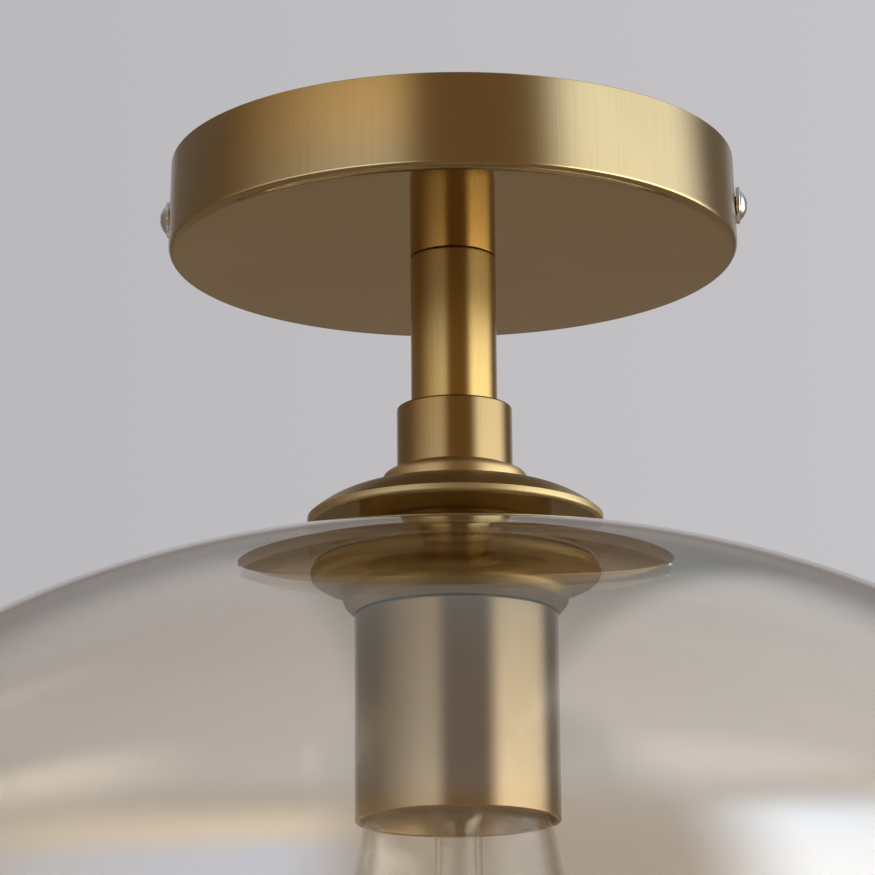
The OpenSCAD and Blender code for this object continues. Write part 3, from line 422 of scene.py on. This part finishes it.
print("finishes made")


# New pieces

def pick(*pieces):  # only these are selected, and the first is active
    bpy.ops.object.select_all(action="DESELECT")
    for piece in pieces:
        piece.select_set(True)
    bpy.context.view_layer.objects.active = pieces[0]


def finished(piece, name, slot, replaced, angle, body="fixture", finish=None):
    piece.name = name
    piece.data.name = name
    pick(piece)
    bpy.ops.object.transform_apply(location=True, rotation=True, scale=True)
    bpy.ops.object.shade_smooth_by_angle(angle=math.radians(angle))
    piece.data.materials.clear()
    piece.data.materials.append(finish or finishes[slot])
    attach(piece, body)
    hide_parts(replaced)
    print("piece", name, len(piece.data.polygons), "faces")


def applyModifier(piece, kind, **settings):
    modifier = piece.modifiers.new(kind.lower(), kind)
    for key, setting in settings.items():
        setattr(modifier, key, setting)
    pick(piece)
    bpy.ops.object.modifier_apply(modifier=modifier.name)


def rounded(outline, steps=6):  # a corner (radius, height, bend) becomes an arc of that bend's radius
    path = []
    for i, corner in enumerate(outline):
        here = Vector(corner[:2])
        if len(corner) < 3:
            path.append(here)
            continue
        before = (Vector(outline[i - 1][:2]) - here).normalized()
        after = (Vector(outline[(i + 1) % len(outline)][:2]) - here).normalized()
        half = before.angle(after) / 2
        centre = here + (before + after).normalized() * corner[2] / math.sin(half)
        reach = corner[2] / math.tan(half)
        first, last = ((here + way * reach - centre).normalized() for way in (before, after))
        path += [centre + first.slerp(last, k / steps) * corner[2] for k in range(steps + 1)]
    return path


def arc(centre, radius, start, end, steps):  # angles in degrees
    angles = (math.radians(start + (end - start) * k / steps) for k in range(steps + 1))
    return [(centre[0] + radius * math.cos(a), centre[1] + radius * math.sin(a)) for a in angles]


def smoothPath(points, steps):  # a smooth curve through the points
    points = [Vector(p) for p in points]
    last = len(points) - 1
    headings = [(points[min(i + 1, last)] - points[max(i - 1, 0)]).normalized() for i in range(last + 1)]
    path = []
    for i in range(last):
        a, b = points[i], points[i + 1]
        reach = (b - a).length
        for k in range(steps):
            s = k / steps
            path.append((2 * s**3 - 3 * s**2 + 1) * a + (s**3 - 2 * s**2 + s) * reach * headings[i]
                        + (3 * s**2 - 2 * s**3) * b + (s**3 - s**2) * reach * headings[i + 1])
    return path + [points[last]]


weld = 2e-6
threadWeld = 1e-6


def chain(points):  # vertices extruded one from the other, in metres
    bpy.ops.object.select_all(action="DESELECT")
    bpy.ops.mesh.primitive_plane_add(size=mm)
    piece = bpy.context.object
    bpy.ops.object.mode_set(mode="EDIT")
    bpy.ops.mesh.select_all(action="SELECT")
    bpy.ops.mesh.merge(type="CENTER")
    bpy.ops.transform.translate(value=points[0])
    for here, there in zip(points, points[1:]):
        bpy.ops.mesh.extrude_vertices_move(TRANSFORM_OT_translate={"value": Vector(there) - Vector(here)})
    return piece


def turned(outline, steps=192, closed=True):  # an outline of (radius, height) in millimetres, spun about Z
    piece = chain([(r * mm, 0, z * mm) for r, z in outline])
    if closed:
        bpy.ops.mesh.select_all(action="DESELECT")
        bpy.ops.object.mode_set(mode="OBJECT")
        for i in (0, len(outline) - 1):
            piece.data.vertices[i].select = True
        bpy.ops.object.mode_set(mode="EDIT")
        bpy.ops.mesh.edge_face_add()
    bpy.ops.mesh.select_all(action="SELECT")
    bpy.ops.mesh.spin(steps=steps, angle=2 * math.pi, center=(0, 0, 0), axis=(0, 0, 1), use_auto_merge=True)
    bpy.ops.mesh.select_all(action="SELECT")
    bpy.ops.mesh.remove_doubles(threshold=weld)
    bpy.ops.mesh.normals_make_consistent(inside=False)
    bpy.ops.object.mode_set(mode="OBJECT")
    return piece


def wire(points, radius, roundness=3):  # points in millimetres
    chain([Vector(p) * mm for p in points])
    bpy.ops.object.mode_set(mode="OBJECT")
    bpy.ops.object.convert(target="CURVE")
    piece = bpy.context.object
    piece.data.bevel_depth = radius * mm
    piece.data.bevel_resolution = roundness
    piece.data.use_fill_caps = True
    bpy.ops.object.convert(target="MESH")
    return bpy.context.object


def threaded(size, steps=64, rows=12):  # one right-hand thread, cut level at both ends, in millimetres
    pitch, low, high = size["pitch"], size["bottom"], size["top"]
    start = math.floor(low / pitch) - 1
    heights = [(start + k / rows) * pitch for k in range(rows + 1)]
    radii = [size["radius"] + size["depth"] / 2 * math.cos(2 * math.pi * h / pitch) for h in heights]
    piece = chain([(r * mm, 0, h * mm) for r, h in zip(radii, heights)])
    bpy.ops.object.mode_set(mode="OBJECT")
    count = math.ceil((high - low) / pitch) + 3
    applyModifier(piece, "SCREW", axis="Z", angle=2 * math.pi, screw_offset=pitch * mm, iterations=count,
                  steps=steps, render_steps=steps, use_merge_vertices=True, merge_threshold=threadWeld,
                  use_smooth_shade=True)
    bpy.ops.object.mode_set(mode="EDIT")
    for height, under in ((high, False), (low, True)):
        bpy.ops.mesh.select_all(action="SELECT")
        bpy.ops.mesh.bisect(plane_co=(0, 0, height * mm), plane_no=(0, 0, 1),
                            clear_outer=not under, clear_inner=under)
    bpy.ops.mesh.select_all(action="SELECT")
    if "wall" not in size:
        bpy.ops.mesh.fill_holes(sides=0)
    bpy.ops.mesh.select_all(action="SELECT")
    bpy.ops.mesh.normals_make_consistent(inside=False)
    bpy.ops.object.mode_set(mode="OBJECT")
    if "wall" in size:
        applyModifier(piece, "SOLIDIFY", thickness=size["wall"] * mm, offset=-1)
    return piece


def joined(*pieces):
    pick(*pieces)
    bpy.ops.object.join()
    return bpy.context.object


def cut(piece, cutter):
    applyModifier(piece, "BOOLEAN", operation="DIFFERENCE", solver="EXACT", object=cutter)
    pick(cutter)
    bpy.ops.object.delete()


# Canopy, stem and collar

bore = 5.05  # for the M10 tube, in millimetres as all sizes from here on
canopyShape = {"radius": 60, "topRadius": 59.5, "height": 20, "wall": 1, "edge": 1.8, "rim": 0.2,
               "loops": (30, 54), "screwHole": 2.2, "screwDepth": 9.8, "drill": 140, "steps": 256}


def makeCanopy(shape):
    wide, top, wall, low = shape["radius"], shape["topRadius"], shape["wall"], -shape["height"]
    under = [(radius, low) for radius in (bore, *shape["loops"])]
    piece = turned(rounded(under + [
        (wide, low, shape["edge"]), (top, 0, shape["rim"]), (top - wall, 0, shape["rim"]),
        (wide - wall, low + wall, shape["edge"] - wall), (bore, low + wall),
    ], 10), shape["steps"])
    bpy.ops.object.select_all(action="DESELECT")
    bpy.ops.mesh.primitive_cylinder_add(
        vertices=48, radius=shape["screwHole"] * mm, depth=shape["drill"] * mm,
        location=(0, 0, -shape["screwDepth"] * mm), rotation=(0, math.pi / 2, 0))
    cut(piece, bpy.context.object)
    finished(piece, "canopyShell", "brushed_brass", "canopy", 30,
             finish=brushedBrass("canopyBrass", brassLooks["canopy"]))


makeCanopy(canopyShape)

stemShapes = {
    "stemTube": {"node": "stem_tube", "look": "stem", "outline": [
        (9, -20, 0.4), (9, -52.8, 0.3), (7.5, -52.8), (7.5, -20)]},
    "collarSleeve": {"node": "collar", "look": "collar", "outline": [
        (12.05, -52.8, 0.5), (12.05, -66.1), (bore, -66.1), (bore, -52.8)]},
    "collarFoot": {"node": "collar_flange", "look": "foot", "outline": [
        (bore, -66.1), (12.2, -66.1), (12.6, -66.5, 0.4), (15.1, -67.1, 1.6), (15.1, -70.5, 0.6),
        (bore, -70.5)]},
}


def makeSleeve(name, shape):
    brass = brushedBrass(name + "Brass", brassLooks[shape["look"]])
    finished(turned(rounded(shape["outline"])), name, "brushed_brass", shape["node"], 30, finish=brass)


for name, shape in stemShapes.items():
    makeSleeve(name, shape)


# Cap, bell and cup

capShape = {"radius": 30.7, "flat": 15.3, "top": -70.5, "drop": 5.8, "sheet": 1.2, "lip": 0.8}


def makeCap(shape):
    run, drop = shape["radius"] - shape["flat"], shape["drop"]
    bend = (run**2 + drop**2) / (2 * drop)
    middle = (shape["flat"], shape["top"] - bend)
    wide = shape["top"] - drop
    inner = bend - shape["sheet"]
    fall, innerFall = (math.degrees(math.asin((wide - middle[1]) / r)) for r in (bend, inner))
    lip = shape["lip"]
    piece = turned([(bore, shape["top"])] + arc(middle, bend, 90, fall, 40)
                   + arc((shape["radius"] - lip, wide - lip), lip, 0, -180, 14)
                   + arc(middle, inner, innerFall, 90, 36) + [(bore, shape["top"] - shape["sheet"])])
    finished(piece, "capDome", "brushed_brass", "shade_cap", 40)


makeCap(capShape)

bellShape = {
    "bead": {"centre": (28.1, -88.13), "radius": 2.0},
    "sweep": [(27.3, -90.2), (25.6, -90.6), (24.4, -91.3), (23.7, -92.5), (23.4, -93.6), (22.9, -94.8),
              (21.9, -95.9), (21.05, -96.73)],
    "inside": [(bore, -96.73), (bore, -95.5), (19.2, -95.5), (20.6, -93.7), (21.8, -90.0), (26.1, -88.9),
               (26.1, -86.13)],
}


def makeBell(shape):
    bead = arc(shape["bead"]["centre"], shape["bead"]["radius"], 90, -85, 26)
    sweep = [tuple(p) for p in smoothPath([bead[-1], *shape["sweep"]], 6)][1:]
    piece = turned(bead + sweep + shape["inside"])
    finished(piece, "bellDish", "brushed_brass", "bell_flange", 40)


makeBell(bellShape)

cupShape = {"node": "socket_cup", "look": "cup", "outline": [
    (bore, -96.73), (21, -96.73, 0.8), (21, -139.73, 0.35), (20, -139.73, 0.35), (20, -98.13, 0.5),
    (bore, -98.13)]}
makeSleeve("cupBody", cupShape)
print("brass pieces made")


# Glass shade

# A spheroid: its radius, half its height and its middle's height, with the mouth's depth under the
# middle. The lip's ends are in degrees from the outer wall.
glassShape = {"wide": 150.0, "half": 88.0, "middle": -170.05, "mouth": 76.0, "hole": 12.0, "wall": 2.0,
              "lip": (15, 165), "steps": 110, "around": 224}


def makeGlassShade(shape):
    mouth = -math.asin(shape["mouth"] / shape["half"])

    def side(inset):  # from the hole to the mouth
        wide, half = shape["wide"] - inset, shape["half"] - inset
        start = math.acos(shape["hole"] / wide)
        angles = (start + (mouth - start) * k / shape["steps"] for k in range(shape["steps"] + 1))
        return [(wide * math.cos(a), shape["middle"] + half * math.sin(a)) for a in angles]

    outer, inner = side(0), side(shape["wall"])
    rim = (Vector(outer[-1]) + Vector(inner[-1])) / 2
    across = Vector(outer[-1]) - rim
    start = math.degrees(math.atan2(across.y, across.x))
    lip = arc(rim, across.length, *(start - turn for turn in shape["lip"]), 10)
    piece = turned(outer + lip + inner[::-1], shape["around"])
    finished(piece, "glassShade", "tinted_glass", "glass_shade", 50)


makeGlassShade(glassShape)


# Bulb

bulbShape = {
    "capEnd": -132.43, "bottom": -241.93, "radius": 32, "bowl": 35, "shoulder": 19.5, "neck": 11.6,
    "wall": 0.8,
    "cageTop": -172.43, "cageBottom": -214.93, "cageTopRadius": 8, "cageBottomRadius": 14,
    "strands": 12, "turn": 348, "firstStrand": 6,  # the last two in degrees
    "hair": 0.25, "bend": 0.6, "hook": 0.18, "eye": 0.45,  # radii of the wires and of their bends
    "leadRise": 6, "feet": {"lead": 3.2, "top": 1.4, "bottom": 2.5},
}
offAxis = 0.02


def makeBulbGlass(shape):
    end, low, wide, neck, shoulder = (shape[k] for k in ("capEnd", "bottom", "radius", "neck", "shoulder"))
    belly = low + shape["bowl"]
    side = smoothPath([
        (neck, end + 3), (neck, end - 0.4), (neck + 1.6, end - 2.4), (shoulder - 1.4, end - 5.6),
        (shoulder, end - 9), (shoulder + 1.7, end - 18), (wide - 3.4, belly + 24), (wide - 0.6, belly + 9),
        (wide, belly),
    ], 10)[:-1]
    angles = (math.pi / 2 * k / 40 for k in range(41))
    outer = [tuple(p) for p in side]
    outer += [(wide * math.cos(a), belly - shape["bowl"] * math.sin(a)) for a in angles]
    wall = shape["wall"]
    inner = []
    for i, (r, z) in enumerate(outer[:-1]):
        heading = (Vector(outer[i + 1]) - Vector(outer[max(i - 1, 0)])).normalized()
        inner.append((max(r + heading.y * wall, offAxis), z - heading.x * wall))
    outer[-1] = (0, low)
    piece = turned(outer + [(0, low + wall)] + inner[::-1], 128, closed=False)
    finished(piece, "bulbGlass", "clear_glass", "bulb_envelope", 60, "bulb")


def makeBulbStem(shape):
    end, pinch, cage = shape["capEnd"], shape["cageTop"] + 6, shape["cageBottom"]
    flare = shape["neck"] - shape["wall"] - 0.3
    hollow = smoothPath([
        (0, pinch + 8), (2.6, pinch + 9), (3.8, pinch + 12), (3.8, end - 10), (flare - 4.6, end - 2.6),
        (flare - 1.4, end - 0.5),
    ], 8)
    rod = smoothPath([
        (flare, end - 0.5), (flare - 3.6, end - 3), (5, end - 9), (5, pinch + 6), (3.2, pinch),
        (1.6, pinch - 3), (1.6, cage + 3), (2.8, cage), (1.6, cage - 3), (0, cage - 3.4),
    ], 8)
    piece = turned([tuple(p) for p in hollow + rod], 64, closed=False)
    finished(piece, "bulbStemGlass", "clear_glass", "bulb_stem", 60, "bulb")


def cageCorner(shape, k):  # where the filament turns, and the way out from the axis
    angle = math.radians(shape["turn"] * k / shape["strands"] + shape["firstStrand"])
    end = "cageBottom" if k % 2 else "cageTop"
    out = Vector((math.cos(angle), math.sin(angle), 0))
    return out * shape[end + "Radius"] + Vector((0, 0, shape[end])), out


def makeFilament(shape):
    path, hooks = [], []
    for k in range(shape["strands"] + 1):
        corner, out = cageCorner(shape, k)
        along = Vector((-out.y, out.x, 0))
        upward = Vector((0, 0, -1 if k % 2 else 1))
        for step in range(9):
            a = math.pi * (1 - step / 8)
            path.append(corner + (upward * (math.sin(a) - 1) - along * math.cos(a)) * shape["bend"])
        lead = k in (0, shape["strands"])
        foot = out * shape["feet"]["bottom" if k % 2 else "lead" if lead else "top"]
        foot.z = corner.z + (shape["leadRise"] if lead else 0)
        seat = corner - upward * shape["bend"]
        angles = (math.pi * t / 6 for t in range(8))
        eye = [seat - (upward * math.cos(a) + out * math.sin(a)) * shape["eye"] for a in angles]
        hooks.append(wire([foot, foot + (eye[-1] - foot) / 2, *eye[::-1]], shape["hook"], 2))
    finished(wire(path, shape["hair"], 2), "filamentWire", "filament_carbon", "filament", 60, "bulb")
    finished(joined(*hooks), "filamentHooks", "nickel", "filament_supports", 60, "bulb")


capShapes = {
    "thread": {"radius": 12.55, "depth": 1.0, "pitch": 3.629, "bottom": -129.2, "top": -112.2, "wall": 0.35},
    "skirt": [(12.3, -128.9), (12.85, -129.6, 0.4), (12.9, -132.43, 0.2), (11.75, -132.43), (11.75, -129.2)],
    "crown": [(11.7, -111.63), (12.0, -111.63, 0.15), (12.5, -112.6), (12.1, -112.9), (11.7, -112.3)],
}
shellShapes = {
    "thread": {"radius": 13.2, "depth": 1.0, "pitch": 3.629, "bottom": -128.1, "top": -109.2, "wall": 0.35},
    "collar": [(12.85, -109.0), (13.3, -109.3), (13.2, -107.53), (10.85, -107.53), (10.85, -107.88),
               (12.8, -107.88)],
}


def threadedSleeve(shapes, *ends):  # a threaded sheet and the turned rings at its ends
    sleeve = threaded(shapes["thread"])
    return joined(sleeve, *(turned(rounded(shapes[end]), 96) for end in ends))


makeBulbGlass(bulbShape)
makeBulbStem(bulbShape)
makeFilament(bulbShape)
finished(threadedSleeve(capShapes, "skirt", "crown"), "bulbCap", "nickel", "bulb_cap", 40, "bulb")
finished(threadedSleeve(shellShapes, "collar"), "screwShell", "bare_brass", "threaded_shell", 40)
print("bulb made")


# Threaded tube, side screws and wires

tubeThread = {"radius": 4.75, "depth": 0.45, "pitch": 1.0, "bottom": -100.16, "top": -11.0, "wall": 1.0}
finished(threaded(tubeThread, 32), "threadedRod", "zinc_steel", "threaded_tube", 50)

screwShape = {
    "wide": 3.2, "high": 1.5, "neck": 1.75, "shank": 0.5, "edge": 0.15, "seat": 60.776, "depth": 9.8,
    "slot": (3.2, 0.7, 2), "slotHeight": 1.6, "brim": 4,  # degrees of the dome that the edge takes
    "thread": {"radius": 1.85, "depth": 0.25, "pitch": 0.7, "bottom": -9.376, "top": -0.4},
}


def makeSideScrew(shape, side):  # made upright, then turned to its side of the canopy
    high, wide, neck, edge = (shape[k] for k in ("high", "wide", "neck", "edge"))
    dome = (wide**2 + high**2) / (2 * high)
    fall = math.degrees(math.asin((dome - high) / dome))
    crown = arc((0, high - dome), dome, fall + shape["brim"], 90, 16)[:-1] + [(0, high)]
    under = [(0, -shape["shank"]), (neck, -shape["shank"]), (neck, 0), (wide - edge, 0), (wide, edge)]
    head = turned(under + crown, 64, closed=False)
    for turn in (0, math.pi / 2):
        bpy.ops.object.select_all(action="DESELECT")
        bpy.ops.mesh.primitive_cube_add(size=1, location=(0, 0, shape["slotHeight"] * mm),
                                        rotation=(0, 0, turn), scale=[width * mm for width in shape["slot"]])
        slot = bpy.context.object
        bpy.ops.object.transform_apply(location=True, rotation=True, scale=True)
        cut(head, slot)
    piece = joined(head, threaded(shape["thread"], 32))
    piece.rotation_euler = (0, side * math.pi / 2, 0)
    piece.location = (side * shape["seat"] * mm, 0, -shape["depth"] * mm)
    label = "left" if side < 0 else "right"
    finished(piece, label + "SideScrew", "nickel", "side_screw_" + label, 40, label + "_screw")


for side in (-1, 1):
    makeSideScrew(screwShape, side)

wireRadius = 0.9
wireRoutes = {
    "neutral": {"slot": "wire_blue", "points": [
        (15.5, 1.8, -8.46), (15.5, 9, -8.46), (13, 12.5, -8), (8, 11, -6.5), (4, 6, -5.5), (1.8, 2, -6.8),
        (1.3, 0, -14), (1.3, 0, -19), (1.3, 0, -92.6), (1.3, 0, -98), (2.5, 0, -100.26), (5.3, 0, -101.66),
        (9.5, 0, -101.66), (13.3, 0, -101.66)]},
    "live": {"slot": "wire_brown", "points": [
        (22, 1.8, -8.46), (22, 9, -8.46), (19, 16, -9), (11, 19, -9.5), (2, 17, -8.5), (-3.5, 11, -6.8),
        (-3.6, 5, -5.8), (-2, 1.6, -7), (-1.3, 0, -14), (-1.3, 0, -19), (-1.3, 0, -92.6), (-1.3, 0, -98),
        (-2.5, 0, -100.26), (-5.3, 0, -101.66), (-9.5, 0, -101.66), (-13.3, 0, -101.66)]},
    "earth": {"slot": "wire_green_yellow", "points": [
        (28.5, 1.8, -8.46), (28.5, 9, -8.46), (27, 17, -7), (20, 24, -5), (8, 27, -4.5), (-6, 26, -4.5),
        (-17, 23, -4.5), (-24, 18, -3.2), (-26, 13, -2.9), (-26, 10.5, -2.9), (-26, 6.2, -2.9)]},
}
for name, route in wireRoutes.items():
    piece = wire(smoothPath(route["points"], 6), wireRadius)
    finished(piece, name + "Wire", route["slot"], name + "_wire", 60)
print("tube, screws and wires made")

glassLayers = 32  # a ray can pass the shade and the bulb, with both walls of each, more than once
scene.cycles.transparent_max_bounces = glassLayers
